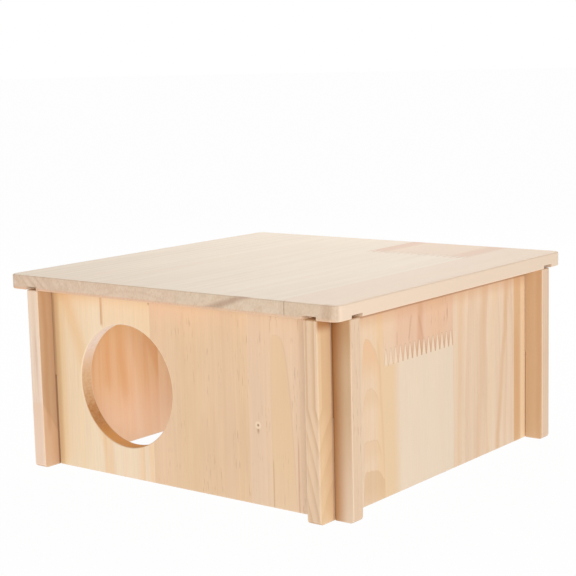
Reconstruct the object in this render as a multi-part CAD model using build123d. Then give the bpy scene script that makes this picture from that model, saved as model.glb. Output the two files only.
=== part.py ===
from build123d import *
import os

# Wooden hamster house: four walls that lock together with half-laps, one inner wall
# and a lift-off lid. Every board is glued up from pine staves, and each stave is a part.
# Millimetres, Z up, origin on the floor under the middle of the house.

# Overall size
lid_side = 250.0
board_thickness = 9.0
lid_underside = 112.0

# Walls
wall_length = 247.4
wall_face = 111.0
lap_clearance = 0.6
lap_height = 57.0
bottom_corner_radius = 2.5
top_corner_radius = 1.0
edge_rounding = 0.5

# Lid
groove_depth = 2.2
groove_clearance = 0.5
lid_corner_radius = 5.5
lid_edge_rounding = 0.9

# Round doorways in the front wall and in the inner wall
door_radius = 37.5
door_height = 56.5
front_door_x = -42.4
inner_door_x = -37.9
door_edge_rounding = 0.7

# Inner wall, held in a shallow upright groove in each side wall
inner_wall_y = 15.8
inner_wall_gap = 0.5
housing_depth = 3.0
housing_clearance = 0.2

# Stave seams, measured along each board; most staves are of one width
stave_width = 74.5
front_seams = [-60.3, -20.9, 53.3]
right_first_seam = -61.7
left_first_seam = -56.7
back_first_seam = -87.5
lid_first_seam = -62.2
inner_seam = stave_width

# Finger joints that lengthen one stave of the lid and one of the right wall
finger_count = 15
finger_length = 9.5
finger_tip = 0.8
right_finger_height = 81.0
lid_finger_y = 70.2

inside_face = wall_face - board_thickness
wall_top = lid_underside + groove_depth
crossing = wall_face - board_thickness / 2
reach = 200.0


def seams_from(first):
    """Three seams one stave apart."""
    return [first + i * stave_width for i in range(3)]


def ease_faces(board, axis):
    """Round the arris all the way round the two wide faces of a board."""
    faces = board.faces().filter_by(axis).sort_by(axis)
    return fillet(faces[0].edges() + faces[-1].edges(), edge_rounding)


def wall_outline():
    """Face shape of a wall, with a raised tongue on top between the corner stubs."""
    body = Rectangle(wall_length, lid_underside, align=(Align.CENTER, Align.MIN))
    body = fillet(body.vertices().group_by(Axis.Y)[0], bottom_corner_radius)
    body = fillet(body.vertices().group_by(Axis.Y)[-1], top_corner_radius)
    tongue = Rectangle(2 * wall_face, wall_top, align=(Align.CENTER, Align.MIN))
    return body + tongue


def wall_board(laps_open_upward):
    """A wall facing -Y at its real place, with its two half-lap slots."""
    board = Plane.XZ.offset(inside_face) * extrude(wall_outline(), board_thickness)
    board = ease_faces(board, Axis.Y)
    slot_height = reach if laps_open_upward else lap_height
    slot_bottom = lap_height if laps_open_upward else 0.0
    slot = Box(board_thickness + 2 * lap_clearance, 4 * board_thickness, slot_height + 1,
               align=(Align.CENTER, Align.CENTER, Align.MIN))
    slot_z = slot_bottom if laps_open_upward else slot_bottom - 1
    for side in (-1, 1):
        board -= Pos(side * crossing, -crossing, slot_z) * slot
    return board


def doorway(board, x, y):
    """Cut a round doorway through a board that faces Y and round its rims."""
    cutter = Pos(x, y, door_height) * Rot(90, 0, 0) * Cylinder(door_radius, 4 * board_thickness)
    board -= cutter
    rims = board.edges().filter_by(GeomType.CIRCLE)
    rims = rims.filter_by(lambda edge: abs(edge.radius - door_radius) < 0.01)
    return fillet(rims, door_edge_rounding)


def inner_wall_housing():
    """Space taken by the inner wall and its two housings."""
    return Pos(0, inner_wall_y, -1) * Box(
        2 * (inside_face + housing_depth), board_thickness + 2 * housing_clearance, reach,
        align=(Align.CENTER, Align.CENTER, Align.MIN))


def inner_wall_board():
    """The inner wall, standing on the floor just short of the lid."""
    half_width = inside_face + housing_depth - housing_clearance
    board = Pos(0, inner_wall_y, 0) * Box(
        2 * half_width, board_thickness, lid_underside - inner_wall_gap,
        align=(Align.CENTER, Align.CENTER, Align.MIN))
    return doorway(ease_faces(board, Axis.Y), inner_door_x, inner_wall_y)


def lid_board():
    """Square lid with round corners and two crossed pairs of grooves underneath."""
    board = Pos(0, 0, lid_underside) * Box(
        lid_side, lid_side, board_thickness, align=(Align.CENTER, Align.CENTER, Align.MIN))
    board = fillet(board.edges().filter_by(Axis.Z), lid_corner_radius)
    faces = board.faces().filter_by(Axis.Z).sort_by(Axis.Z)
    board = fillet(faces[0].edges() + faces[-1].edges(), lid_edge_rounding)
    groove = Box(2 * lid_side, board_thickness + 2 * groove_clearance, groove_depth,
                 align=(Align.CENTER, Align.CENTER, Align.MIN))
    for side in (-1, 1):
        board -= Pos(0, side * crossing, lid_underside) * groove
        board -= Pos(side * crossing, 0, lid_underside) * Rot(0, 0, 90) * groove
    return board


def split(board, seams, turn):
    """Cut a board into staves at its seams, which run along the board's own length."""
    limits = [-reach] + seams + [reach]
    staves = []
    for low, high in zip(limits, limits[1:]):
        slab = Pos((low + high) / 2, 0, 0) * Box(high - low, 2 * reach, 2 * reach)
        staves.append(Rot(0, 0, turn) * slab & board)
    return staves


def finger_region(start, joint):
    """Flat region beyond a finger joint that crosses one stave, along +Y from the joint."""
    points = []
    half_tip = finger_tip / 2
    finger_pitch = stave_width / finger_count
    for i in range(finger_count):
        left = start + i * finger_pitch
        middle = left + finger_pitch / 2
        right = left + finger_pitch
        points.append((left, joint - finger_length / 2))
        points.append((left + half_tip, joint - finger_length / 2))
        points.append((middle - half_tip, joint + finger_length / 2))
        points.append((middle + half_tip, joint + finger_length / 2))
        points.append((right - half_tip, joint - finger_length / 2))
    points.append((start + stave_width, joint - finger_length / 2))
    points.append((start + stave_width + 1, joint - finger_length / 2))
    points.append((start + stave_width + 1, reach))
    points.append((start - 1, reach))
    points.append((start - 1, joint - finger_length / 2))
    return Polygon(*points, align=None)


def wall(turn, laps_open_upward, seams, door=False):
    """One wall as its list of staves, turned to its side of the house."""
    board = wall_board(laps_open_upward)
    if door:
        board = doorway(board, front_door_x, -crossing)
    board = Rot(0, 0, turn) * board
    if laps_open_upward:
        board -= inner_wall_housing()
    return split(board, seams, turn)


def right_wall():
    """Right wall, whose second stave is finger-jointed from two blocks."""
    staves = wall(90, True, seams_from(right_first_seam))
    region = finger_region(right_first_seam, right_finger_height)
    upper = Rot(0, 0, 90) * (Plane.XZ * extrude(region, reach))
    long_stave = staves[1]
    return {
        "right_wall_stave_1": staves[0],
        "right_wall_stave_2_lower": long_stave - upper,
        "right_wall_stave_2_upper": long_stave & upper,
        "right_wall_stave_3": staves[2],
        "right_wall_stave_4": staves[3],
    }


def lid():
    """Lid, whose third stave is finger-jointed from two blocks."""
    staves = split(lid_board(), seams_from(lid_first_seam), 0)
    region = finger_region(lid_first_seam + stave_width, lid_finger_y)
    back = extrude(region, reach)
    long_stave = staves[2]
    return {
        "lid_stave_1": staves[0],
        "lid_stave_2": staves[1],
        "lid_stave_3_front": long_stave - back,
        "lid_stave_3_back": long_stave & back,
        "lid_stave_4": staves[3],
    }


def inner_wall():
    """Inner wall, whose staves lie level and are stacked."""
    board = inner_wall_board()
    upper = Pos(0, 0, inner_seam) * Box(
        2 * reach, 2 * reach, reach, align=(Align.CENTER, Align.CENTER, Align.MIN))
    return {"inner_wall_stave_1": board - upper, "inner_wall_stave_2": board & upper}


def numbered(name, staves):
    """Name staves in order along the board, and both halves of one cut by a doorway."""
    named = {}
    for i, stave in enumerate(staves):
        solids = stave.solids().sort_by(Axis.Z)
        endings = ["_lower", "_upper"] if len(solids) == 2 else [""]
        for ending, solid in zip(endings, solids):
            named[f"{name}_stave_{i + 1}{ending}"] = solid
    return named


parts = {}
parts.update(numbered("front_wall", wall(0, False, front_seams, door=True)))
parts.update(numbered("back_wall", wall(180, False, seams_from(back_first_seam))))
parts.update(numbered("left_wall", wall(-90, True, seams_from(left_first_seam))))
parts.update(right_wall())
parts.update(inner_wall())
parts.update(lid())

os.makedirs("parts", exist_ok=True)
for name, shape in parts.items():
    export_step(shape, f"parts/{name}.step")
    print(name, len(shape.solids()), "solid", round(shape.volume), "mm3")
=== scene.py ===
import bpy
import math
from mathutils import Matrix, Vector


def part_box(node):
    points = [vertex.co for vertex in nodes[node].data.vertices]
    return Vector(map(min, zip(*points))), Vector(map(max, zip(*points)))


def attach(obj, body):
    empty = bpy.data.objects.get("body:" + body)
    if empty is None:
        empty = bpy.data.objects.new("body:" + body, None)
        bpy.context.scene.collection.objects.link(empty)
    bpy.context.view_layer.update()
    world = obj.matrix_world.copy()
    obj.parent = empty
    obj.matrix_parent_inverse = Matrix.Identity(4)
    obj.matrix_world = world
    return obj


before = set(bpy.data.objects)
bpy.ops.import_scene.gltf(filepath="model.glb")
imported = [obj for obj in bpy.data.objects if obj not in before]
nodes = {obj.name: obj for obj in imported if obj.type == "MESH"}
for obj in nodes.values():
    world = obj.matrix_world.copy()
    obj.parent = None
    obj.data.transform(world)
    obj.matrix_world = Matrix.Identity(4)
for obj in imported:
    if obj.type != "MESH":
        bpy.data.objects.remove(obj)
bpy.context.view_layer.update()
perMetre = 1000.0  # the looks of the boards are written in millimetres
print("boards loaded:", len(nodes))


def screen(red, green, blue):
    # a colour as seen on screen, turned into the linear values that shaders want
    def linear(value):
        value /= 255.0
        return value / 12.92 if value <= 0.04045 else ((value + 0.055) / 1.055) ** 2.4
    return (linear(red), linear(green), linear(blue), 1.0)


# short ways to lay nodes

def feed(tree, target, value):
    if isinstance(value, bpy.types.NodeSocket):
        tree.links.new(value, target)
    else:
        target.default_value = value


def maths(tree, operation, *values):
    node = tree.nodes.new("ShaderNodeMath")
    node.operation = operation
    for target, value in zip(node.inputs, values):
        feed(tree, target, value)
    return node.outputs[0]


def times(tree, first, second):
    return maths(tree, "MULTIPLY", first, second)


def plus(tree, first, second):
    return maths(tree, "ADD", first, second)


def minus(tree, first, second):
    return maths(tree, "SUBTRACT", first, second)


def added(tree, value, factor, base):
    # value times factor, added to base
    return maths(tree, "MULTIPLY_ADD", value, factor, base)


def sizeOf(tree, value):
    return maths(tree, "ABSOLUTE", value)


def radiusOf(tree, x, y):
    return maths(tree, "SQRT", plus(tree, times(tree, x, x), times(tree, y, y)))


def vectors(tree, operation, *values, scale=None):
    node = tree.nodes.new("ShaderNodeVectorMath")
    node.operation = operation
    for target, value in zip(node.inputs, values):
        feed(tree, target, value)
    if scale is not None:
        feed(tree, node.inputs["Scale"], scale)
    return node.outputs["Value" if operation == "DOT_PRODUCT" else "Vector"]


def fade(tree, value, start, stop, low=0.0, high=1.0):
    # goes softly from low to high while value goes from start to stop
    node = tree.nodes.new("ShaderNodeMapRange")
    node.interpolation_type = "SMOOTHSTEP"
    for target, amount in zip(node.inputs, (value, start, stop, low, high)):
        feed(tree, target, amount)
    return node.outputs[0]


def blend(tree, amount, first, second, mode="MIX"):
    node = tree.nodes.new("ShaderNodeMix")
    node.data_type = "RGBA"
    node.blend_type = mode
    feed(tree, node.inputs[0], amount)
    feed(tree, node.inputs[6], first)
    feed(tree, node.inputs[7], second)
    return node.outputs[2]


def tint(tree, colour, mask, depth, shade, mode="MIX"):
    # lays a screen colour over the colour so far, where the mask is, and as deep as depth says
    return blend(tree, times(tree, mask, depth), colour, screen(*shade), mode)


def split(tree, vector):
    node = tree.nodes.new("ShaderNodeSeparateXYZ")
    feed(tree, node.inputs[0], vector)
    return node.outputs


def centred(tree, value):
    # a noise between 0 and 1 made to swing round zero
    return minus(tree, value, 0.5)


def noise(tree, place, size, detail=1.0):
    # soft cloud whose lumps have the given size along each axis, in the units of place
    spread = vectors(tree, "MULTIPLY", place, tuple(1.0 / s for s in size))
    node = tree.nodes.new("ShaderNodeTexNoise")
    tree.links.new(spread, node.inputs["Vector"])
    node.inputs["Scale"].default_value = 1.0
    node.inputs["Detail"].default_value = detail
    return node.outputs[0]


def ripple(tree, along):
    # a wave along one line that swings round zero
    wave = tree.nodes.new("ShaderNodeTexNoise")
    wave.noise_dimensions = "1D"
    wave.inputs["Scale"].default_value = 1.0
    tree.links.new(along, wave.inputs["W"])
    return centred(tree, wave.outputs[0])


def facing(tree, axis):
    # one on faces that look along the axis, either way, and zero on faces that run with it
    coordinates = tree.nodes.new("ShaderNodeTexCoord")
    return sizeOf(tree, vectors(tree, "DOT_PRODUCT", coordinates.outputs["Normal"], axis))


def newGroup(name, outputs, **inputs):
    # an input's default gives its kind: a number, a colour of four values, or a vector, which may be None
    group = bpy.data.node_groups.new(name, "ShaderNodeTree")
    for label, value in inputs.items():
        kind = "Float" if isinstance(value, float) else "Color" if value and len(value) == 4 else "Vector"
        socket = group.interface.new_socket(label, in_out="INPUT", socket_type="NodeSocket" + kind)
        if value is not None:
            socket.default_value = value
    for label in outputs:
        kind = "Color" if label == "colour" else "Float"
        group.interface.new_socket(label, in_out="OUTPUT", socket_type="NodeSocket" + kind)
    given = group.nodes.new("NodeGroupInput").outputs
    result = group.nodes.new("NodeGroupOutput").inputs
    return group, given, result


def place(tree, group, **values):
    # puts a group in a material and gives its inputs their values
    node = tree.nodes.new("ShaderNodeGroup")
    node.node_tree = group
    for label, value in values.items():
        feed(tree, node.inputs[label], value)
    return node.outputs


# effects that every pine stave shares, in millimetres

# sizes of the patterns that lie with the grain, two across it and one along it
grainSize = {
    "bend": (34, 34, 120), "waver": (6, 6, 45), "fibres": (0.7, 0.7, 38), "hair": (0.22, 0.22, 9),
    "streaks": (6, 6, 150), "flecks": (0.75, 0.75, 8), "fleckAreas": (9, 9, 26), "clouds": (30, 30, 75),
}
# sizes of the patterns that lie with the house, along X, Y and Z
lumpSize = {"arris": (5, 5, 5), "pores": (0.9, 0.9, 1.8), "poreAreas": (7, 7, 7)}
seedShift = (17.3, 29.1, 61.7)  # how far one unit of seed moves a pattern


def makePineGrain():
    # growth rings round a pith, with fibres, streaks and resin flecks along the grain, which runs along Z
    tree, given, result = newGroup(
        "pineGrain", ["colour", "roughness", "height"], ringPlace=None, fibrePlace=None, seed=0.0,
        ringWidth=2.5, waver=1.0, early=screen(238, 214, 182), late=screen(214, 172, 128),
        streak=screen(222, 182, 140), fleck=screen(176, 130, 92), ringDepth=0.5, streakDepth=0.3,
        fibreDepth=0.1, fleckDepth=0.4, cloudDepth=0.05)
    shift = vectors(tree, "SCALE", seedShift, scale=given["seed"])
    ringPlace = given["ringPlace"]
    ringLumps = vectors(tree, "ADD", ringPlace, shift)
    fibrePlace = vectors(tree, "ADD", given["fibrePlace"], shift)

    x, y = split(tree, ringPlace)[:2]
    slow = centred(tree, noise(tree, ringLumps, grainSize["bend"]))
    quick = centred(tree, noise(tree, ringLumps, grainSize["waver"]))
    bend = plus(tree, times(tree, slow, 2.0), times(tree, quick, 0.35))
    radius = added(tree, bend, given["waver"], radiusOf(tree, x, y))
    phase = maths(tree, "DIVIDE", radius, given["ringWidth"])
    count = maths(tree, "FLOOR", phase)
    share = maths(tree, "FRACT", phase)
    year = tree.nodes.new("ShaderNodeTexWhiteNoise")
    year.noise_dimensions = "1D"
    tree.links.new(plus(tree, count, given["seed"]), year.inputs["W"])
    strength = added(tree, year.outputs[0], 0.6, 0.4)
    rise = maths(tree, "POWER", fade(tree, share, 0.15, 0.92), 1.6)
    late = times(tree, times(tree, rise, fade(tree, share, 0.94, 1.0, 1.0, 0.0)), strength)

    fibres = noise(tree, fibrePlace, grainSize["fibres"], 3)
    hair = noise(tree, fibrePlace, grainSize["hair"], 2)
    streaks = fade(tree, noise(tree, fibrePlace, grainSize["streaks"], 2), 0.44, 0.66)
    flecks = times(tree, fade(tree, noise(tree, fibrePlace, grainSize["flecks"], 1), 0.62, 0.72),
                   fade(tree, noise(tree, fibrePlace, grainSize["fleckAreas"], 1), 0.46, 0.62))
    clouds = noise(tree, fibrePlace, grainSize["clouds"], 2)

    colour = blend(tree, times(tree, late, given["ringDepth"]), given["early"], given["late"])
    colour = blend(tree, times(tree, streaks, given["streakDepth"]), colour, given["streak"])
    tone = times(tree, centred(tree, fibres), given["fibreDepth"])
    tone = added(tree, centred(tree, hair), 0.06, tone)
    tone = added(tree, centred(tree, clouds), given["cloudDepth"], tone)
    colour = vectors(tree, "SCALE", colour, scale=added(tree, tone, 2.0, 1.0))
    colour = blend(tree, times(tree, flecks, given["fleckDepth"]), colour, given["fleck"])
    feed(tree, result["colour"], colour)

    rough = added(tree, fibres, 0.16, 0.5)
    feed(tree, result["roughness"], added(tree, late, -0.08, rough))
    height = added(tree, hair, 0.5, times(tree, late, 0.5))
    feed(tree, result["height"], added(tree, flecks, -0.6, height))
    return tree


def makeSoftStripe():
    # a stripe along the grain: at and half its width across it, start and stop along it, all ending softly
    tree, given, result = newGroup(
        "softStripe", ["mask"], across=0.0, along=0.0, at=0.0, lean=0.0, half=1.0, soft=0.5, wander=0.0,
        start=-500.0, stop=500.0, fade=5.0)
    along = given["along"]
    middle = added(tree, along, given["lean"], given["at"])
    middle = added(tree, ripple(tree, added(tree, along, 0.03, given["at"])), given["wander"], middle)
    distance = sizeOf(tree, minus(tree, given["across"], middle))
    inner = minus(tree, given["half"], given["soft"])
    outer = plus(tree, given["half"], given["soft"])
    side = fade(tree, distance, inner, outer, 1.0, 0.0)
    begun = fade(tree, along, minus(tree, given["start"], given["fade"]), given["start"])
    going = fade(tree, along, given["stop"], plus(tree, given["stop"], given["fade"]), 1.0, 0.0)
    feed(tree, result["mask"], times(tree, side, times(tree, begun, going)))
    return tree


def makeSandedArris():
    # the thin line where two faces of a board meet, a little broken up
    tree, given, result = newGroup("sandedArris", ["mask"], place=None, centre=None, halfSize=None, reach=1.2)
    offset = vectors(tree, "ABSOLUTE", vectors(tree, "SUBTRACT", given["place"], given["centre"]))
    a, b, c = split(tree, vectors(tree, "SUBTRACT", given["halfSize"], offset))[:3]
    middle = maths(tree, "MAXIMUM", maths(tree, "MINIMUM", a, b),
                   maths(tree, "MINIMUM", maths(tree, "MAXIMUM", a, b), c))
    broken = added(tree, noise(tree, given["place"], lumpSize["arris"], 2), 1.2, 0.4)
    reach = times(tree, given["reach"], broken)
    feed(tree, result["mask"], fade(tree, middle, times(tree, reach, 0.3), reach, 1.0, 0.0))
    return tree


def makeDoorArris():
    # the same along a round doorway, and its cut face; the doorway's centre is at zero, its axis along Z
    tree, given, result = newGroup("doorArris", ["arris", "cut"], place=None, radius=37.5, halfBoard=4.5,
                                   reach=1.0)
    x, y, z = split(tree, given["place"])[:3]
    away = sizeOf(tree, minus(tree, radiusOf(tree, x, y), given["radius"]))
    below = minus(tree, given["halfBoard"], sizeOf(tree, z))
    nearest = maths(tree, "MAXIMUM", away, below)
    reach = given["reach"]
    feed(tree, result["arris"], fade(tree, nearest, times(tree, reach, 0.4), reach, 1.0, 0.0))
    cut = times(tree, fade(tree, away, 0.2, 0.6, 1.0, 0.0), fade(tree, below, 0.3, 0.9))
    feed(tree, result["cut"], cut)
    return tree


def makeFlameArch():
    # growth rings cut nearly flat: an arch that opens downwards from its apex; a small power gives a flat top
    tree, given, result = newGroup(
        "flameArch", ["inside", "line"], across=0.0, along=0.0, at=0.0, apex=100.0, spread=1.0, power=0.5,
        squeeze=1.0, line=0.6, fade=60.0)
    down = minus(tree, given["apex"], given["along"])
    down = added(tree, ripple(tree, added(tree, given["across"], 0.22, given["apex"])), 4.0, down)
    reach = times(tree, given["spread"],
                  maths(tree, "POWER", maths(tree, "MAXIMUM", down, 0.0), given["power"]))
    away = minus(tree, given["across"], given["at"])
    toLeft = times(tree, away, times(tree, given["squeeze"], -1.0))
    away = maths(tree, "MAXIMUM", away, toLeft)
    depth = maths(tree, "MINIMUM", minus(tree, reach, away), down)
    lower = fade(tree, down, times(tree, given["fade"], 0.3), given["fade"], 1.0, 0.0)
    feed(tree, result["inside"], times(tree, fade(tree, depth, -0.6, 1.2), lower))
    line = fade(tree, sizeOf(tree, depth), 0.0, given["line"], 1.0, 0.0)
    feed(tree, result["line"], times(tree, line, lower))
    return tree


def makeCornerShade():
    # shade where a board runs on past the corner: wide fades away from the corner, line follows it
    tree, given, result = newGroup("cornerShade", ["beyond", "wide", "line"], across=0.0, corner=111.0,
                                   reach=10.0, line=1.5)
    past = minus(tree, sizeOf(tree, given["across"]), given["corner"])
    beyond = fade(tree, past, -0.1, 0.3)
    feed(tree, result["beyond"], beyond)
    feed(tree, result["wide"], times(tree, beyond, fade(tree, past, 0.0, given["reach"], 1.0, 0.0)))
    line = given["line"]
    feed(tree, result["line"], fade(tree, sizeOf(tree, past), times(tree, line, 0.3), line, 1.0, 0.0))
    return tree


def makePinKnot():
    # a small knot with a pale ring round it and a dark tail under it
    tree, given, result = newGroup("pinKnot", ["pale", "dark"], across=0.0, along=0.0, size=1.0)
    x, z, size = given["across"], given["along"], given["size"]
    out = maths(tree, "DIVIDE", radiusOf(tree, x, z), size)
    core = fade(tree, out, 0.35, 0.8, 1.0, 0.0)
    pale = times(tree, fade(tree, out, 0.6, 1.0), fade(tree, out, 1.5, 2.2, 1.0, 0.0))
    sideways = fade(tree, maths(tree, "DIVIDE", sizeOf(tree, x), size), 0.1, 1.1, 1.0, 0.0)
    down = maths(tree, "DIVIDE", times(tree, z, -1.0), size)
    tail = times(tree, fade(tree, down, 1.5, 2.2), fade(tree, down, 2.6, 5.0, 1.0, 0.0))
    tail = times(tree, times(tree, tail, sideways), 0.7)
    feed(tree, result["pale"], pale)
    feed(tree, result["dark"], maths(tree, "MAXIMUM", core, tail))
    return tree


def makeEndGrain():
    # mask is one on faces that cut across the grain; pores are the fine open ends of the fibres there
    tree, given, result = newGroup("endGrain", ["mask", "pores"], place=None, grain=(0, 0, 1))
    mask = fade(tree, facing(tree, given["grain"]), 0.3, 0.6)
    feed(tree, result["mask"], mask)
    fine = noise(tree, given["place"], lumpSize["pores"], 2)
    coarse = noise(tree, given["place"], lumpSize["poreAreas"], 1)
    pores = plus(tree, times(tree, fine, 0.7), times(tree, coarse, 0.3))
    feed(tree, result["pores"], times(tree, mask, fade(tree, pores, 0.4, 0.65)))
    return tree


pineGrain = makePineGrain()
softStripe = makeSoftStripe()
sandedArris = makeSandedArris()
doorArris = makeDoorArris()
flameArch = makeFlameArch()
cornerShade = makeCornerShade()
pinKnot = makePinKnot()
endGrain = makeEndGrain()
print("pine effects ready")


# how each board lies: which axis runs across it and which along its grain, and its box in millimetres

boards = {
    "front_wall": {"across": 0, "grain": 2},
    "back_wall": {"across": 0, "grain": 2},
    "right_wall": {"across": 1, "grain": 2},
    "left_wall": {"across": 1, "grain": 2},
    "inner_wall": {"across": 2, "grain": 0},
    "lid": {"across": 0, "grain": 1},
}
for name, board in boards.items():
    lows, highs = zip(*(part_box(node) for node in nodes if node.startswith(name)))
    low = Vector([min(corner[i] for corner in lows) for i in range(3)]) * perMetre
    high = Vector([max(corner[i] for corner in highs) for i in range(3)]) * perMetre
    board["centre"] = (low + high) / 2
    board["half"] = (high - low) / 2
grainAxes = {0: Vector((1, 0, 0)), 1: Vector((0, 1, 0)), 2: Vector((0, 0, 1))}

# outer face of the side walls, and the shade beside the corners of the four outer walls, which is painted
# on because soft light alone leaves it too pale
wallFace = boards["right_wall"]["centre"].x + boards["right_wall"]["half"].x
cornerTones = {"boards": ("front_wall", "back_wall", "left_wall", "right_wall"),
               "wide": (206, 170, 130), "line": (150, 106, 74)}

unlimited = 999  # further than any board goes, in millimetres
# what a stave looks like unless its own entry says otherwise
plainStave = dict(
    early=(236, 208, 174), late=(212, 170, 126), streak=(226, 186, 144), fleck=(176, 128, 92),
    arris=(244, 220, 190), arrisDepth=0.28, pith=(0, 60, 57), lean=(0, 0), flatAbove=unlimited, ringWidth=2.6,
    waver=1.2, ringDepth=0.3, streakDepth=0.2, fibreDepth=0.08, fleckDepth=0.2, cloudDepth=0.04,
    endShade=(236, 230, 222), pores=0.3, poreShade=(214, 206, 188), seed=1.0,
    # painted light and shade beside a corner: the faces past it are toned lighter or darker, and the part
    # near it and the line in its gap are painted darker
    side=(224, 182, 138), sideDepth=0.0, shade=0.35, gapShade=0.3,  # painted beside a corner
    stripes=[], arches=[], bands=[], knots=[], door=None,
)


def stripe(at, half, soft, colour, depth, rise=0.0, through=None, **more):
    # a stripe along the grain: more may hold lean, wander, start, stop and fade; rise moves it with height
    return {"shape": {"at": at, "half": half, "soft": soft, **more}, "rise": rise, "through": through,
            "colour": colour, "depth": depth}


def band(start, stop, colour, depth, **limits):
    # a tone that comes in from start to stop in height; limits may hold until, left, near and through
    return {"start": start, "stop": stop, "colour": colour, "depth": depth, **limits}


def grainPlaces(tree, board, look, position):
    # one mapping lays the grain along Z, the other also puts the pith on the Z axis
    axis = grainAxes[board["grain"]]
    along = tree.nodes.new("ShaderNodeMapping")
    along.inputs["Rotation"].default_value = axis.rotation_difference(Vector((0, 0, 1))).to_euler()
    tree.links.new(position, along.inputs["Vector"])

    others = [i for i in range(3) if i != board["grain"]]
    growth = axis.copy()
    for i, lean in zip(others, look["lean"]):
        growth[i] = lean
    turn = growth.normalized().rotation_difference(Vector((0, 0, 1)))
    pith = Vector(look["pith"])
    rings = tree.nodes.new("ShaderNodeMapping")
    rings.inputs["Rotation"].default_value = turn.to_euler()
    rings.inputs["Location"].default_value = -(turn @ pith)
    # above this height the rings run straight up
    capped = vectors(tree, "MINIMUM", position, (unlimited, unlimited, look["flatAbove"]))
    tree.links.new(capped, rings.inputs["Vector"])
    return rings.outputs[0], along.outputs[0]


grainValues = ("seed", "ringWidth", "waver", "ringDepth", "streakDepth", "fibreDepth", "fleckDepth",
               "cloudDepth")
grainColours = ("early", "late", "streak", "fleck")


def grainOf(tree, board, look, position):
    ringPlace, fibrePlace = grainPlaces(tree, board, look, position)
    return place(tree, pineGrain, ringPlace=ringPlace, fibrePlace=fibrePlace,
                 **{key: look[key] for key in grainValues},
                 **{key: screen(*look[key]) for key in grainColours})


bandEnd = 2.0  # height over which a band with an until dies away


def figured(tree, look, colour, across, along, through, height):
    # the stave's own stripes, arches, bands and knots, each laid over the colour so far
    def limited(mask, row):
        for label, value in (("left", across), ("near", along), ("through", through)):
            if row.get(label):
                mask = times(tree, mask, fade(tree, value, *row[label]))
        return mask

    for row in look["stripes"]:
        leaning = added(tree, height, -row["rise"], across)
        mask = place(tree, softStripe, across=leaning, along=along, **row["shape"])["mask"]
        colour = tint(tree, colour, limited(mask, row), row["depth"], row["colour"])
    for row in look["arches"]:
        arch = place(tree, flameArch, across=across, along=along, **row["shape"])
        colour = tint(tree, colour, arch["inside"], row["insideDepth"], row["inside"])
        colour = tint(tree, colour, arch["line"], row["lineDepth"], row["edge"])
    for row in look["bands"]:
        mask = fade(tree, height, row["start"], row["stop"])
        if "until" in row:
            mask = times(tree, mask, fade(tree, height, row["until"], row["until"] + bandEnd, 1.0, 0.0))
        colour = tint(tree, colour, limited(mask, row), row["depth"], row["colour"])
    for row in look["knots"]:
        x, z = row["at"]
        knot = place(tree, pinKnot, across=minus(tree, across, x), along=minus(tree, along, z),
                     size=row["size"])
        colour = tint(tree, colour, knot["pale"], row["pale"], look["arris"])
        colour = tint(tree, colour, knot["dark"], row["dark"], row["colour"])
    return colour


def cornerMasks(tree, board, across):
    # on the broad faces of a wall: all that stands past the corner, the part near it, and the gap line
    broad = fade(tree, facing(tree, grainAxes[board["across"]]), 0.5, 0.2)
    corner = place(tree, cornerShade, across=across, corner=wallFace)
    return [times(tree, broad, corner[label]) for label in ("beyond", "wide", "line")]


# the doorways' cut faces: size of the mottling, how much of the painted light and shade it lets through, and
# how the pale edge grows with height as a painted highlight
rimFinish = {"lumps": (2.2, 2.2, 1.4), "mottling": (0.35, 0.65, 0.68, 0.94), "edge": (30, 70, 0.25, 0.8)}


def rimmed(tree, look, colour, position, height):
    # the doorway's cut face with its painted light and shade in tones from the bottom up, and its pale edge,
    # made stronger higher up as a painted highlight
    door = look["door"]
    # turns the doorway's axis to Z and moves its centre to zero
    centring = tree.nodes.new("ShaderNodeMapping")
    centring.inputs["Rotation"].default_value = (math.radians(-90), 0, 0)
    centring.inputs["Location"].default_value = door["location"]
    tree.links.new(position, centring.inputs["Vector"])
    rim = place(tree, doorArris, place=centring.outputs[0])
    (level, shade), *others = door["rim"]
    tone = screen(*shade)
    for nextLevel, shade in others:
        tone = blend(tree, fade(tree, height, level, nextLevel), tone, screen(*shade))
        level = nextLevel
    mottled = fade(tree, noise(tree, position, rimFinish["lumps"], 2), *rimFinish["mottling"])
    colour = blend(tree, times(tree, rim["cut"], mottled), colour, tone)
    edge = fade(tree, height, *rimFinish["edge"])
    return blend(tree, times(tree, rim["arris"], edge), colour, screen(*look["arris"]))


def newMaterial(name):
    # a material, its tree and the place on the object in millimetres
    material = bpy.data.materials.new(name)
    material.use_nodes = True
    tree = material.node_tree
    coordinates = tree.nodes.new("ShaderNodeTexCoord")
    return material, tree, vectors(tree, "SCALE", coordinates.outputs["Object"], scale=perMetre)


def surface(tree, colour, roughness, height, finish):
    shader = tree.nodes["Principled BSDF"]
    tree.links.new(colour, shader.inputs["Base Color"])
    tree.links.new(roughness, shader.inputs["Roughness"])
    bump = tree.nodes.new("ShaderNodeBump")
    bump.inputs["Strength"].default_value = finish["bump"]
    bump.inputs["Distance"].default_value = finish["bumpDepth"]
    tree.links.new(height, bump.inputs["Height"])
    tree.links.new(bump.outputs[0], shader.inputs["Normal"])
    shader.inputs["Specular IOR Level"].default_value = finish["specular"]


boardFinish = {"bump": 0.35, "bumpDepth": 0.00012, "specular": 0.35}
stubTurn = 1.0  # width over which the grain changes at a corner


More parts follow.
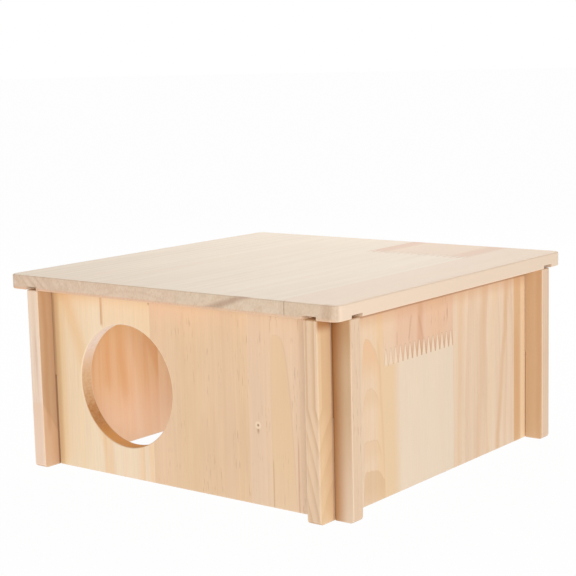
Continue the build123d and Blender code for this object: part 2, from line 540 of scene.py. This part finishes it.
def pineMaterial(name, boardName, ownLook):
    look = {**plainStave, **ownLook}
    board = boards[boardName]
    material, tree, position = newMaterial(name)
    parts = split(tree, position)
    across, along = parts[board["across"]], parts[board["grain"]]
    through = parts[3 - board["across"] - board["grain"]]  # the axis that is left

    wood = grainOf(tree, board, look, position)
    colour = wood["colour"]
    if "stub" in look:  # the grain turns where the board runs on past the corner
        stub = {**look, **look["stub"]}
        turned = grainOf(tree, board, stub, position)
        beyond = fade(tree, across, stub["edge"], stub["edge"] - stubTurn)
        colour = blend(tree, beyond, colour, turned["colour"])

    onCorner = boardName in cornerTones["boards"]
    if onCorner:
        side, wide, line = cornerMasks(tree, board, across)
        # painted light and shade on the broad faces past the corner
        colour = tint(tree, colour, side, look["sideDepth"], look["side"])
    colour = figured(tree, look, colour, across, along, through, parts[2])
    ends = place(tree, endGrain, place=position, grain=grainAxes[board["grain"]])
    colour = blend(tree, ends["mask"], colour, screen(*look["endShade"]), "MULTIPLY")
    colour = tint(tree, colour, ends["pores"], look["pores"], look["poreShade"], "MULTIPLY")
    if look["door"]:
        colour = rimmed(tree, look, colour, position, parts[2])

    arris = place(tree, sandedArris, place=position, centre=board["centre"], halfSize=board["half"])["mask"]
    colour = tint(tree, colour, arris, look["arrisDepth"], look["arris"])
    if onCorner:
        # painted shade near the corner and along the line in its gap
        colour = tint(tree, colour, wide, look["shade"], cornerTones["wide"], "MULTIPLY")
        colour = tint(tree, colour, line, look["gapShade"], cornerTones["line"], "MULTIPLY")
    surface(tree, colour, wood["roughness"], wood["height"], boardFinish)
    return material


def dress(boardName, looks):
    # gives each stave of a board its own pine
    for node, look in looks.items():
        mesh = nodes[node].data
        material = pineMaterial(node, boardName, look)
        for i in range(len(mesh.materials)):
            mesh.materials[i] = material
        if not mesh.materials:
            mesh.materials.append(material)
    print(boardName.replace("_", " "), "dressed")


# front wall, with the round doorway

frontDoor = dict(
    location=(42.4, -56.5, -106.5),
    # rim: painted light and shade on the doorway's cut face, a tone at each height from the bottom up
    rim=((20, (240, 178, 106)), (33, (194, 130, 68)), (56, (222, 180, 136)), (84, (247, 226, 212))),
)
gluePale = (210, 158, 114)
frontLook = {
    "front_wall_stave_1": dict(
        early=(245, 221, 189), late=(237, 205, 163), streak=(246, 213, 169), pith=(-95, 190, 57), seed=3.0,
        door=frontDoor, ringDepth=0.3, streakDepth=0.3, fleckDepth=0.0, shade=0.1,
        stripes=[
            stripe(-108, 2.5, 2, (226, 196, 148), 0.5, wander=1),
            # the next two are painted shade: in the gap at the left corner from the lap up, and beside that
            # corner
            stripe(-101.5, 0.7, 0.5, (146, 98, 62), 0.8, start=57, fade=1),
            stripe(-99.7, 2.2, 1.5, (204, 160, 116), 0.75, wander=0.6),
            stripe(-98, 4, 4, (236, 206, 154), 0.5, wander=2),
            stripe(-52, 4.5, 4, (240, 198, 148), 0.6, lean=-0.36, wander=2),
            stripe(-60.6, 0.7, 0.4, gluePale, 0.85, start=94, fade=3),
            stripe(-60.8, 1.6, 1.4, (238, 192, 142), 0.5, stop=22, fade=4),
        ],
        # painted shade under the lid's edge
        bands=[band(101, 109, (236, 190, 140), 0.35, until=109)],
    ),
    "front_wall_stave_2_lower": dict(
        early=(243, 218, 188), late=(234, 196, 154), streak=(242, 196, 146), pith=(-60, 170, 57), seed=7.0,
        door=frontDoor, ringDepth=0.3, streakDepth=0.5, fleckDepth=0.0,
        stripes=[stripe(-59.6, 1.8, 1.6, (240, 196, 148), 0.5)],
    ),
    "front_wall_stave_2_upper": dict(
        early=(242, 214, 179), late=(234, 198, 155), streak=(240, 204, 157), pith=(-60, 170, 57), seed=7.0,
        door=frontDoor, ringDepth=0.3, streakDepth=0.35, fleckDepth=0.0,
        stripes=[
            stripe(-59.9, 0.5, 0.4, gluePale, 0.6, start=94, fade=3),
            stripe(-21.2, 0.5, 0.3, (150, 102, 70), 0.8, start=108.5, fade=1.5),
        ],
        # painted shade under the lid's edge
        bands=[band(101, 109, (238, 196, 150), 0.3, until=109)],
    ),
    "front_wall_stave_3": dict(
        early=(231, 197, 161), late=(218, 178, 137), streak=(224, 184, 142), fleck=(174, 132, 100),
        pith=(20, -40, 57), ringWidth=3.4, waver=2.2, ringDepth=0.22, streakDepth=0.35, seed=11.0,
        door=frontDoor, fleckDepth=0.42, cloudDepth=0.09,
        stripes=[
            stripe(-14, 6, 5, (240, 200, 166), 0.4, wander=3),
            stripe(10, 7, 6, (228, 192, 150), 0.35, wander=4),
            stripe(38, 5, 4, (226, 192, 160), 0.35, wander=3),
        ],
        # painted light: lighter towards the top, over its left part
        bands=[band(92, 112, (242, 201, 167), 0.45, left=(50, 6))],
    ),
    "front_wall_stave_4": dict(
        early=(232, 201, 170), late=(219, 181, 144), streak=(225, 188, 150), fleck=(180, 140, 110),
        pith=(150, -60, 57), seed=13.0, ringWidth=3.2, waver=1.6, ringDepth=0.2, fleckDepth=0.4,
        # painted shade on the stub's faces past the corner, near the corner and along its gap line
        side=(196, 164, 128), sideDepth=0.8, shade=1.0, gapShade=0.35,
        stripes=[
            stripe(58, 4.5, 4, (224, 192, 164), 0.35, wander=2),
            stripe(69.6, 0.35, 0.3, (176, 136, 104), 0.7, stop=24, fade=6),
            stripe(87.3, 0.5, 0.5, (198, 152, 116), 0.6, wander=0.8, stop=34, fade=14),
        ],
        arches=[
            dict(
                shape=dict(at=71.2, apex=99, spread=4.4, power=0.26, squeeze=6.0, line=0.8, fade=150),
                inside=(228, 194, 150), insideDepth=0.6, edge=(214, 174, 136), lineDepth=0.35,
            ),
        ],
        # on the stub's face past the corner: painted light towards the bottom, and painted shade under the
        # lid
        bands=[
            band(70, 0, (230, 206, 182), 0.7, left=(110.9, 111.3), through=(-110.2, -110.8)),
            band(80, 112, (182, 138, 92), 0.7, left=(110.9, 111.3), through=(-110.2, -110.8)),
        ],
        knots=[dict(at=(59.3, 46.2), size=1.15, pale=0.6, dark=0.8, colour=(150, 104, 76))],
    ),
}
dress("front_wall", frontLook)


# right wall, whose second stave is two blocks with fingers

# painted shade under the lid, kept off the parts that stand past the corners
eavesShade = [
    band(98, 108, (216, 168, 126), 0.5, until=109, through=(107, 109)),
    band(106.5, 107.6, (168, 120, 86), 0.65, until=108, through=(107, 109)),
]
nearEavesShade = [{**row, "left": (-110.6, -109.6)} for row in eavesShade]
farEavesShade = [{**row, "left": (110.6, 109.6)} for row in eavesShade]
rightLook = {
    "right_wall_stave_1": dict(
        early=(241, 212, 180), late=(230, 188, 146), streak=(238, 200, 158), pith=(180, -130, 57),
        # painted light on the stub's face past the corner, with painted shade near the corner and along its
        # gap line
        ringWidth=3.4, waver=1.5, ringDepth=0.2, seed=17.0, shade=0.15, gapShade=0.35, side=(252, 214, 164),
        sideDepth=0.5,
        stub=dict(
            edge=-111, pith=(60.5, -93.5, 57), lean=(-0.204, 0.116), ringWidth=4.1, flatAbove=64,
            ringDepth=0.8, early=(224, 193, 161), late=(194, 154, 116),
        ),
        stripes=[
            stripe(-62, 7, 5, (240, 202, 154), 0.6, wander=2),
            stripe(-92, 8, 5, (238, 212, 184), 0.4, wander=2),
            stripe(-60.6, 0.9, 0.9, (220, 180, 134), 0.3, lean=-0.07, wander=1.5, stop=88, fade=8),
        ],
        arches=[
            dict(
                shape=dict(
                    at=at, apex=apex, spread=spread, power=power, squeeze=squeeze, line=1.2, fade=fall,
                ),
                inside=inside, insideDepth=depth, edge=(226, 184, 142), lineDepth=line,
            )
            for at, apex, spread, power, squeeze, inside, depth, line, fall in (
                (-79.5, 94.5, 3.7, 0.45, 4.0, (240, 194, 148), 0.7, 0.35, 28),
                (-76, 66.5, 3.2, 0.45, 1.4, (234, 196, 152), 0.45, 0.35, 16),
                (-80, 36.5, 10.0, 0.16, 6.0, (232, 192, 148), 0.35, 0.45, 15),
                (-79.5, 19.5, 8.6, 0.33, 6.0, (222, 182, 138), 0.55, 0.45, 30),
            )
        ],
        bands=[
            *nearEavesShade,
            # painted shade under the lid on the stub past the corner
            band(103.5, 110, (182, 128, 80), 0.95, left=(-110.9, -111.3), through=(110.2, 110.8)),
        ],
    ),
    "right_wall_stave_2_lower": dict(
        early=(240, 218, 192), late=(236, 208, 176), streak=(240, 214, 184), pith=(200, -20, 57),
        ringDepth=0.1, streakDepth=0.2, fleckDepth=0.0, fibreDepth=0.03, seed=19.0,
        stripes=[stripe(-57, 9, 5, (238, 202, 156), 0.75, wander=2, stop=82)],
        bands=[band(75.5, 77.5, (246, 220, 192), 0.8)],
    ),
    "right_wall_stave_2_upper": dict(
        early=(237, 198, 167), late=(226, 178, 143), streak=(232, 181, 145), fleck=(184, 128, 96),
        pith=(60, -20, 57), waver=2.5, ringWidth=3.6, ringDepth=0.2, fleckDepth=0.55, seed=23.0,
        stripes=[
            stripe(-23, 2.6, 2.2, (216, 164, 126), 0.55, wander=5),
            stripe(7.9, 1.0, 0.9, (212, 158, 124), 0.5, lean=-0.33, wander=1, stop=98),
            stripe(-53, 0.8, 0.7, (212, 168, 134), 0.55, lean=0.2, wander=1, start=89, stop=100, fade=3),
            stripe(-47.8, 0.4, 0.35, (190, 138, 106), 0.5, start=87, stop=93, fade=1.5),
            stripe(-4, 9, 6, (240, 198, 160), 0.5, wander=4),
            stripe(-58, 9, 5, (240, 210, 178), 0.75, wander=2),
        ],
        bands=[band(87, 77, (204, 160, 122), 0.7, left=(-52, -30)), *eavesShade],
    ),
    "right_wall_stave_3": dict(
        early=(242, 214, 185), late=(224, 181, 143), pith=(180, 45, 57), seed=29.0, ringDepth=0.4,
        waver=2.5, ringWidth=3.2,
        stripes=[
            stripe(41, 3.5, 3, (228, 186, 144), 0.4, lean=0.09, wander=3),
            stripe(66, 2.2, 2, (226, 180, 132), 0.55, lean=0.12, wander=3),
            stripe(18, 4, 4, (232, 192, 148), 0.4, lean=0.05, wander=3),
            stripe(53, 3, 3, (240, 208, 166), 0.4, lean=0.1, wander=3),
        ],
        bands=eavesShade,
    ),
    "right_wall_stave_4": dict(
        early=(239, 206, 168), late=(226, 178, 131), pith=(180, 95, 57), seed=31.0, ringDepth=0.25,
        waver=2.0, shade=0.3,
        stripes=[
            stripe(90.5, 4, 2.5, (218, 170, 124), 0.65, lean=-0.02, wander=2, stop=60, fade=30),
            stripe(91.5, 5, 3, (230, 182, 130), 0.5, lean=-0.02, wander=3),
            # a painted highlight just before the back corner
            stripe(99, 3, 1.4, (255, 226, 188), 0.9, wander=0.6),
        ],
        bands=farEavesShade,
    ),
}
dress("right_wall", rightLook)


# left and back walls

# painted light, as it comes up from the ground inside, on the face seen through the doorway
innerFace = (-106, -103)
insideGlow = [
    band(48, 18, (250, 212, 184), 0.55, through=innerFace),
    band(60, 92, (255, 214, 160), 0.75, through=innerFace),
]
leftLook = {
    "left_wall_stave_1": dict(early=(240, 206, 168), streak=(236, 190, 146), seed=37.0, pith=(-60, 80, 57)),
    "left_wall_stave_2": dict(
        early=(252, 220, 184), late=(242, 198, 152), streak=(246, 204, 158), streakDepth=0.3,
        fibreDepth=0.04, fleckDepth=0.05, ringDepth=0.08, ringWidth=6.0, waver=3.0, seed=41.0,
        pith=(-30, 20, 57), bands=insideGlow,
    ),
    "left_wall_stave_3": dict(
        early=(248, 207, 165), late=(238, 184, 138), streak=(242, 188, 136), streakDepth=0.5,
        fibreDepth=0.04, fleckDepth=0.05, ringDepth=0.08, ringWidth=6.0, waver=3.0, seed=43.0,
        pith=(-30, -60, 57), bands=insideGlow,
        stripes=[
            stripe(-66, 3, 2.5, (238, 180, 122), 0.45, wander=2, start=48, fade=14, through=innerFace),
            stripe(-47, 3.5, 3, (236, 176, 116), 0.5, lean=-0.1, wander=2, start=36, fade=16,
                   through=innerFace),
            stripe(-37, 2.5, 2.5, (255, 226, 198), 0.4, lean=-0.1, wander=2, through=innerFace),
            stripe(7, 10, 2, (238, 178, 120), 0.4, lean=-0.4, wander=2, start=38, fade=14,
                   through=innerFace),
        ],
    ),
    "left_wall_stave_4": dict(
        early=(242, 210, 174), late=(230, 188, 146), streak=(206, 160, 118), seed=47.0,
        # painted shade on the stub's face past the corner, near the corner and along its gap line
        pith=(-160, -110, 57), side=(202, 163, 124), sideDepth=0.85, shade=0.3, gapShade=0.55,
        stub=dict(
            edge=-111, early=(244, 221, 200), late=(226, 192, 162), streak=(214, 174, 142), streakDepth=0.5,
        ),
        stripes=[
            stripe(-129.2, 30, 1.2, (230, 190, 156), 0.6, lean=-0.59, stop=45),
            stripe(-119, 1.6, 1.4, (196, 148, 106), 0.45, wander=3, start=30, fade=12),
        ],
        # on the stub's end face: painted light towards the bottom and painted shade towards the top
        bands=[
            band(75, 10, (251, 222, 201), 0.5, left=(-123.0, -123.5)),
            band(75, 110, (238, 206, 176), 0.45, left=(-123.0, -123.5)),
        ],
    ),
}
dress("left_wall", leftLook)

backLook = {
    "back_wall_stave_1": dict(
        # painted shade on the stub's face past the corner, and near the corner
        early=(238, 208, 180), seed=53.0, pith=(115, 170, 57), side=(208, 172, 130), sideDepth=0.8,
        shade=0.2, gapShade=0.0,
        stripes=[stripe(121, 1.8, 1.4, (204, 158, 116), 0.5, wander=1)],
    ),
    "back_wall_stave_2": dict(
        early=(238, 210, 176), seed=59.0, pith=(40, 40, 57), lean=(0.0, 0.01),
        arches=[
            dict(
                shape=dict(at=20, apex=88, spread=1.6, power=0.5, line=0.7, fade=120),
                inside=(230, 194, 150), insideDepth=0.45, edge=(210, 168, 128), lineDepth=0.5,
            ),
        ],
    ),
    "back_wall_stave_3": dict(early=(234, 200, 166), seed=61.0, pith=(-30, 190, 57), fleckDepth=0.45),
    "back_wall_stave_4": dict(
        early=(240, 214, 184), seed=67.0, pith=(-90, 60, 57),
        knots=[dict(at=(-84, 70), size=1.6, pale=0.4, dark=0.75, colour=(158, 112, 82))],
    ),
}
dress("back_wall", backLook)


# inner wall, its grain lying flat

innerDoor = dict(
    location=(37.9, -56.5, 15.8),
    # rim: painted light and shade on the doorway's cut face, a tone at each height from the bottom up
    rim=((30, (222, 172, 122)), (56, (230, 188, 144)), (84, (244, 214, 190))),
)
innerLook = {
    "inner_wall_stave_1": dict(early=(240, 208, 172), seed=71.0, pith=(0, 70, 30), door=innerDoor),
    "inner_wall_stave_2": dict(early=(242, 212, 178), seed=73.0, pith=(0, -60, 95), door=innerDoor),
}
dress("inner_wall", innerLook)


# lid

lidEnds = dict(
    early=(243, 226, 204), late=(228, 200, 170), streak=(236, 211, 186), streakDepth=0.35, fleckDepth=0.0,
    fibreDepth=0.04, ringDepth=0.3, endShade=(238, 227, 221), pores=0.3, arris=(244, 214, 184),
    arrisDepth=0.15,
)
# a painted highlight along the lower edge of the lid's front face
lidEdgeHighlight = band(114.0, 113.2, (246, 208, 176), 0.8, near=(-123.2, -124.0))
lidLook = {
    "lid_stave_1": dict(
        late=(210, 176, 144), ringDepth=0.22, pith=(-142, 0, 70), ringWidth=4.6, waver=1.6, seed=79.0,
        stripes=[
            stripe(at, half, half, (202, 168, 142), depth, rise=-1.1, stop=-123.6, fade=0.8)
            for at, half, depth in (
                (11, 1.4, 0.2), (17, 1.1, 0.25), (24, 1.6, 0.3), (31, 1.2, 0.25), (39, 2.2, 0.2),
            )
        ],
    ),
    "lid_stave_2": dict(pith=(-20, 0, 40), lean=(0.0, 0.01), ringWidth=4.0, seed=83.0),
    "lid_stave_3_front": dict(
        pith=(100, 0, 50), ringWidth=6.5, ringDepth=0.35, waver=2.0, seed=89.0, endShade=(234, 227, 221),
        stripes=[stripe(-301, 5, 4.5, (188, 152, 130), 0.6, rise=3.0, stop=-123.6, fade=0.8)],
    ),
    "lid_stave_3_back": dict(
        early=(238, 211, 184), late=(226, 189, 157), pith=(50, 0, 40), seed=97.0,
        stripes=[
            stripe(17, 7, 4, (228, 190, 164), 0.85, wander=2),
            stripe(80, 7, 4, (229, 192, 166), 0.75, wander=2),
        ],
    ),
    "lid_stave_4": dict(
        early=(240, 216, 190), late=(228, 196, 164), pith=(170, 0, 60), ringWidth=3.6,
        endShade=(232, 230, 227), ringDepth=0.15, seed=101.0,
        stripes=[
            stripe(93, 7, 5, (236, 212, 188), 0.4, wander=2),
            stripe(90.4, 0.3, 0.25, (176, 146, 122), 0.7, stop=-123.6, fade=0.8),
            stripe(118.4, 3.2, 2.4, (222, 190, 163), 0.75, stop=-122.5, fade=2),
            stripe(126, 3, 1.5, (245, 219, 194), 0.7),
        ],
    ),
}
dress("lid", {node: {**lidEnds, "bands": [lidEdgeHighlight], **look} for node, look in lidLook.items()})


# dried glue showing in the finger joints

glue = {"fingers": 15, "length": 9.5, "tip": 0.8, "line": 0.24, "sides": 6, "proud": 0.02,
        "dark": (178, 130, 94), "pale": (206, 162, 124), "patch": 2.2, "bump": 1.0, "bumpDepth": 0.00005,
        "specular": 0.5}


def glueMaterial():
    material, tree, position = newMaterial("driedGlue")
    patches = noise(tree, position, (glue["patch"],) * 3, 2)
    colour = blend(tree, fade(tree, patches, 0.35, 0.65), screen(*glue["dark"]), screen(*glue["pale"]))
    surface(tree, colour, added(tree, patches, 0.2, 0.4), patches, glue)
    return material


def makeGlueTree():
    # a zigzag of fingers along X with their length along Y, on both faces of a board that is centred on Z
    tree = bpy.data.node_groups.new("fingerGlue", "GeometryNodeTree")
    for label, kind in (("Fingers", "Int"), ("Pitch", "Float"), ("Length", "Float"), ("Tip", "Float"),
                        ("Line", "Float"), ("Proud", "Float"), ("Board", "Float"), ("Finish", "Material")):
        tree.interface.new_socket(label, in_out="INPUT", socket_type="NodeSocket" + kind)
    tree.interface.new_socket("Geometry", in_out="OUTPUT", socket_type="NodeSocketGeometry")
    given = tree.nodes.new("NodeGroupInput").outputs
    result = tree.nodes.new("NodeGroupOutput").inputs

    # four points to a finger
    points = tree.nodes.new("GeometryNodeMeshLine")
    feed(tree, points.inputs["Count"], times(tree, given["Fingers"], 4.0))
    index = tree.nodes.new("GeometryNodeInputIndex").outputs[0]
    finger = maths(tree, "FLOOR", maths(tree, "DIVIDE", index, 4.0))
    corner = minus(tree, index, times(tree, finger, 4.0))
    second = maths(tree, "GREATER_THAN", corner, 1.5)
    odd = minus(tree, corner, times(tree, second, 2.0))
    # corners at tip/2, pitch/2 - tip/2, pitch/2 + tip/2 and pitch - tip/2
    halfPitch = times(tree, given["Pitch"], 0.5)
    halfTip = times(tree, given["Tip"], 0.5)
    x = added(tree, finger, given["Pitch"], halfTip)
    x = added(tree, second, halfPitch, x)
    x = added(tree, odd, minus(tree, halfPitch, given["Tip"]), x)
    # corners 1 and 2 stand at the far end of the finger
    high = maths(tree, "COMPARE", corner, 1.5, 0.6)
    y = times(tree, centred(tree, high), given["Length"])
    spot = tree.nodes.new("ShaderNodeCombineXYZ")
    tree.links.new(x, spot.inputs[0])
    tree.links.new(y, spot.inputs[1])
    zigzag = tree.nodes.new("GeometryNodeSetPosition")
    tree.links.new(points.outputs[0], zigzag.inputs["Geometry"])
    tree.links.new(spot.outputs[0], zigzag.inputs["Position"])
    line = tree.nodes.new("GeometryNodeMeshToCurve")
    tree.links.new(zigzag.outputs[0], line.inputs[0])
    bead = tree.nodes.new("GeometryNodeCurvePrimitiveCircle")
    bead.inputs["Resolution"].default_value = glue["sides"]
    feed(tree, bead.inputs["Radius"], times(tree, given["Line"], 0.5))
    strand = tree.nodes.new("GeometryNodeCurveToMesh")
    tree.links.new(line.outputs[0], strand.inputs["Curve"])
    tree.links.new(bead.outputs[0], strand.inputs["Profile Curve"])
    strand.inputs["Fill Caps"].default_value = True

    both = tree.nodes.new("GeometryNodeJoinGeometry")
    flatness = maths(tree, "DIVIDE", given["Proud"], times(tree, given["Line"], 0.5))
    for side in (0.5, -0.5):
        lift = tree.nodes.new("ShaderNodeCombineXYZ")
        tree.links.new(times(tree, given["Board"], side), lift.inputs[2])
        squash = tree.nodes.new("ShaderNodeCombineXYZ")
        squash.inputs[0].default_value = 1.0
        squash.inputs[1].default_value = 1.0
        tree.links.new(flatness, squash.inputs[2])
        laid = tree.nodes.new("GeometryNodeTransform")
        tree.links.new(strand.outputs[0], laid.inputs["Geometry"])
        tree.links.new(lift.outputs[0], laid.inputs["Translation"])
        tree.links.new(squash.outputs[0], laid.inputs["Scale"])
        tree.links.new(laid.outputs[0], both.inputs[0])
    real = tree.nodes.new("GeometryNodeRealizeInstances")
    tree.links.new(both.outputs[0], real.inputs[0])
    finish = tree.nodes.new("GeometryNodeSetMaterial")
    tree.links.new(real.outputs[0], finish.inputs["Geometry"])
    tree.links.new(given["Finish"], finish.inputs["Material"])
    tree.links.new(finish.outputs[0], result["Geometry"])
    return tree


def bakeTree(name, tree, values, matrix):
    # runs a geometry tree once and keeps its result as a plain mesh, laid where matrix says
    holder = bpy.data.objects.new(name + "_holder", bpy.data.meshes.new(name + "_start"))
    bpy.context.scene.collection.objects.link(holder)
    modifier = holder.modifiers.new("build", "NODES")
    modifier.node_group = tree
    for item in tree.interface.items_tree:
        if item.in_out == "INPUT":
            modifier[item.identifier] = values[item.name]
    bpy.context.view_layer.update()
    ready = holder.evaluated_get(bpy.context.evaluated_depsgraph_get())
    mesh = bpy.data.meshes.new_from_object(ready)
    mesh.name = name
    holder.modifiers.clear()
    bpy.data.objects.remove(holder)
    mesh.transform(matrix)
    piece = bpy.data.objects.new(name, mesh)
    bpy.context.scene.collection.objects.link(piece)
    return piece


glueTree = makeGlueTree()
glueValues = {label: glue[label.lower()] / perMetre for label in ("Length", "Tip", "Line", "Proud")}
glueValues.update({"Fingers": glue["fingers"], "Finish": glueMaterial()})
halfFinger = glueValues["Length"] / 2

# tree axes X, Y, Z go to the house's Y, Z, X on the right wall; the fingers start at the block's near edge
low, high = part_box("right_wall_stave_2_upper")
onRightWall = Matrix(((0, 0, 1, (low.x + high.x) / 2), (1, 0, 0, low.y), (0, 1, 0, low.z + halfFinger),
                      (0, 0, 0, 1)))
glueValues.update({"Pitch": (high.y - low.y) / glue["fingers"], "Board": high.x - low.x})
wallGlue = bakeTree("right_wall_glue_line", glueTree, glueValues, onRightWall)
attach(wallGlue, "walls")

low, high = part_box("lid_stave_3_back")
onLid = Matrix.Translation((low.x, low.y + halfFinger, (low.z + high.z) / 2))
glueValues.update({"Pitch": (high.x - low.x) / glue["fingers"], "Board": high.z - low.z})
lidGlue = bakeTree("lid_glue_line", glueTree, glueValues, onLid)
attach(lidGlue, "lid")
print("glue lines laid:", len(wallGlue.data.polygons), len(lidGlue.data.polygons))


# studio: pale floor, soft light, camera, in metres and watts

studio = {
    "floor": 60.0, "floorColour": (250, 250, 250), "seenGlow": 0.975, "ambient": 0.5, "aim": (0, 0, 0.06),
    "lamps": [
        {"name": "key", "at": (-0.6, -1.7, 1.5), "size": 1.2, "watts": 1.0},
        {"name": "top", "at": (-0.45, 0.75, 0.8), "size": 0.8, "watts": 4.9},
        {"name": "front", "at": (0.9, -1.0, 0.28), "size": 0.45, "watts": 5.2},
    ],
}


def makeFloor():
    half = studio["floor"] / 2
    mesh = bpy.data.meshes.new("floor")
    corners = [(-half, -half, 0), (half, -half, 0), (half, half, 0), (-half, half, 0)]
    mesh.from_pydata(corners, [], [(0, 1, 2, 3)])
    floor = bpy.data.objects.new("floor", mesh)
    bpy.context.scene.collection.objects.link(floor)
    material = bpy.data.materials.new("paleFloor")
    material.use_nodes = True
    tree = material.node_tree
    tree.nodes.clear()
    matt = tree.nodes.new("ShaderNodeBsdfDiffuse")
    matt.inputs["Color"].default_value = screen(*studio["floorColour"])
    bright = tree.nodes.new("ShaderNodeEmission")
    mix = tree.nodes.new("ShaderNodeMixShader")
    path = tree.nodes.new("ShaderNodeLightPath")
    # the eye keeps a little of the shadow, while other rays meet a glowing white floor
    glow = fade(tree, path.outputs["Is Camera Ray"], 0.0, 1.0, 1.0, studio["seenGlow"])
    tree.links.new(glow, mix.inputs[0])
    tree.links.new(matt.outputs[0], mix.inputs[1])
    tree.links.new(bright.outputs[0], mix.inputs[2])
    out = tree.nodes.new("ShaderNodeOutputMaterial")
    tree.links.new(mix.outputs[0], out.inputs[0])
    mesh.materials.append(material)


def makeWorld():
    # white where it is seen or mirrored, dimmer as light
    world = bpy.data.worlds.new("studio")
    bpy.context.scene.world = world
    world.use_nodes = True
    tree = world.node_tree
    tree.nodes.clear()
    path = tree.nodes.new("ShaderNodeLightPath")
    seen = maths(tree, "MAXIMUM", path.outputs["Is Camera Ray"],
                 maths(tree, "MAXIMUM", path.outputs["Is Glossy Ray"], path.outputs["Is Transmission Ray"]))
    air = tree.nodes.new("ShaderNodeBackground")
    air.inputs["Color"].default_value = (1, 1, 1, 1)
    tree.links.new(fade(tree, seen, 0.0, 1.0, studio["ambient"], 1.0), air.inputs["Strength"])
    out = tree.nodes.new("ShaderNodeOutputWorld")
    tree.links.new(air.outputs[0], out.inputs[0])


def makeLamp(name, at, size, watts):
    data = bpy.data.lights.new(name, "AREA")
    data.shape = "DISK"
    data.size = size
    data.energy = watts
    lamp = bpy.data.objects.new(name, data)
    bpy.context.scene.collection.objects.link(lamp)
    lamp.location = at
    lamp.rotation_euler = (Vector(studio["aim"]) - Vector(at)).to_track_quat("-Z", "Y").to_euler()


# metres, radians and millimetres of lens
shot = {"at": (0.5655698, -0.7335261, 0.2457069), "pitch": 0.1513172, "roll": -0.0242719, "yaw": 0.6596893,
        "lens": 92.0, "sensor": 36.0}


def makeCamera():
    data = bpy.data.cameras.new("camera")
    data.sensor_width = shot["sensor"]
    data.lens = shot["lens"]
    camera = bpy.data.objects.new("camera", data)
    bpy.context.scene.collection.objects.link(camera)
    pitch, roll, yaw = shot["pitch"], shot["roll"], shot["yaw"]
    ahead = Vector((-math.sin(yaw) * math.cos(pitch), math.cos(yaw) * math.cos(pitch), -math.sin(pitch)))
    level = Vector((math.cos(yaw), math.sin(yaw), 0))
    rise = level.cross(ahead)
    right = level * math.cos(roll) + rise * math.sin(roll)
    up = rise * math.cos(roll) - level * math.sin(roll)
    turned = Matrix((right, up, -ahead)).transposed().to_4x4()
    camera.matrix_world = Matrix.Translation(shot["at"]) @ turned
    bpy.context.scene.camera = camera


makeFloor()
makeWorld()
for lamp in studio["lamps"]:
    makeLamp(**lamp)
makeCamera()
bpy.context.scene.view_settings.view_transform = "Standard"
print("studio lit")
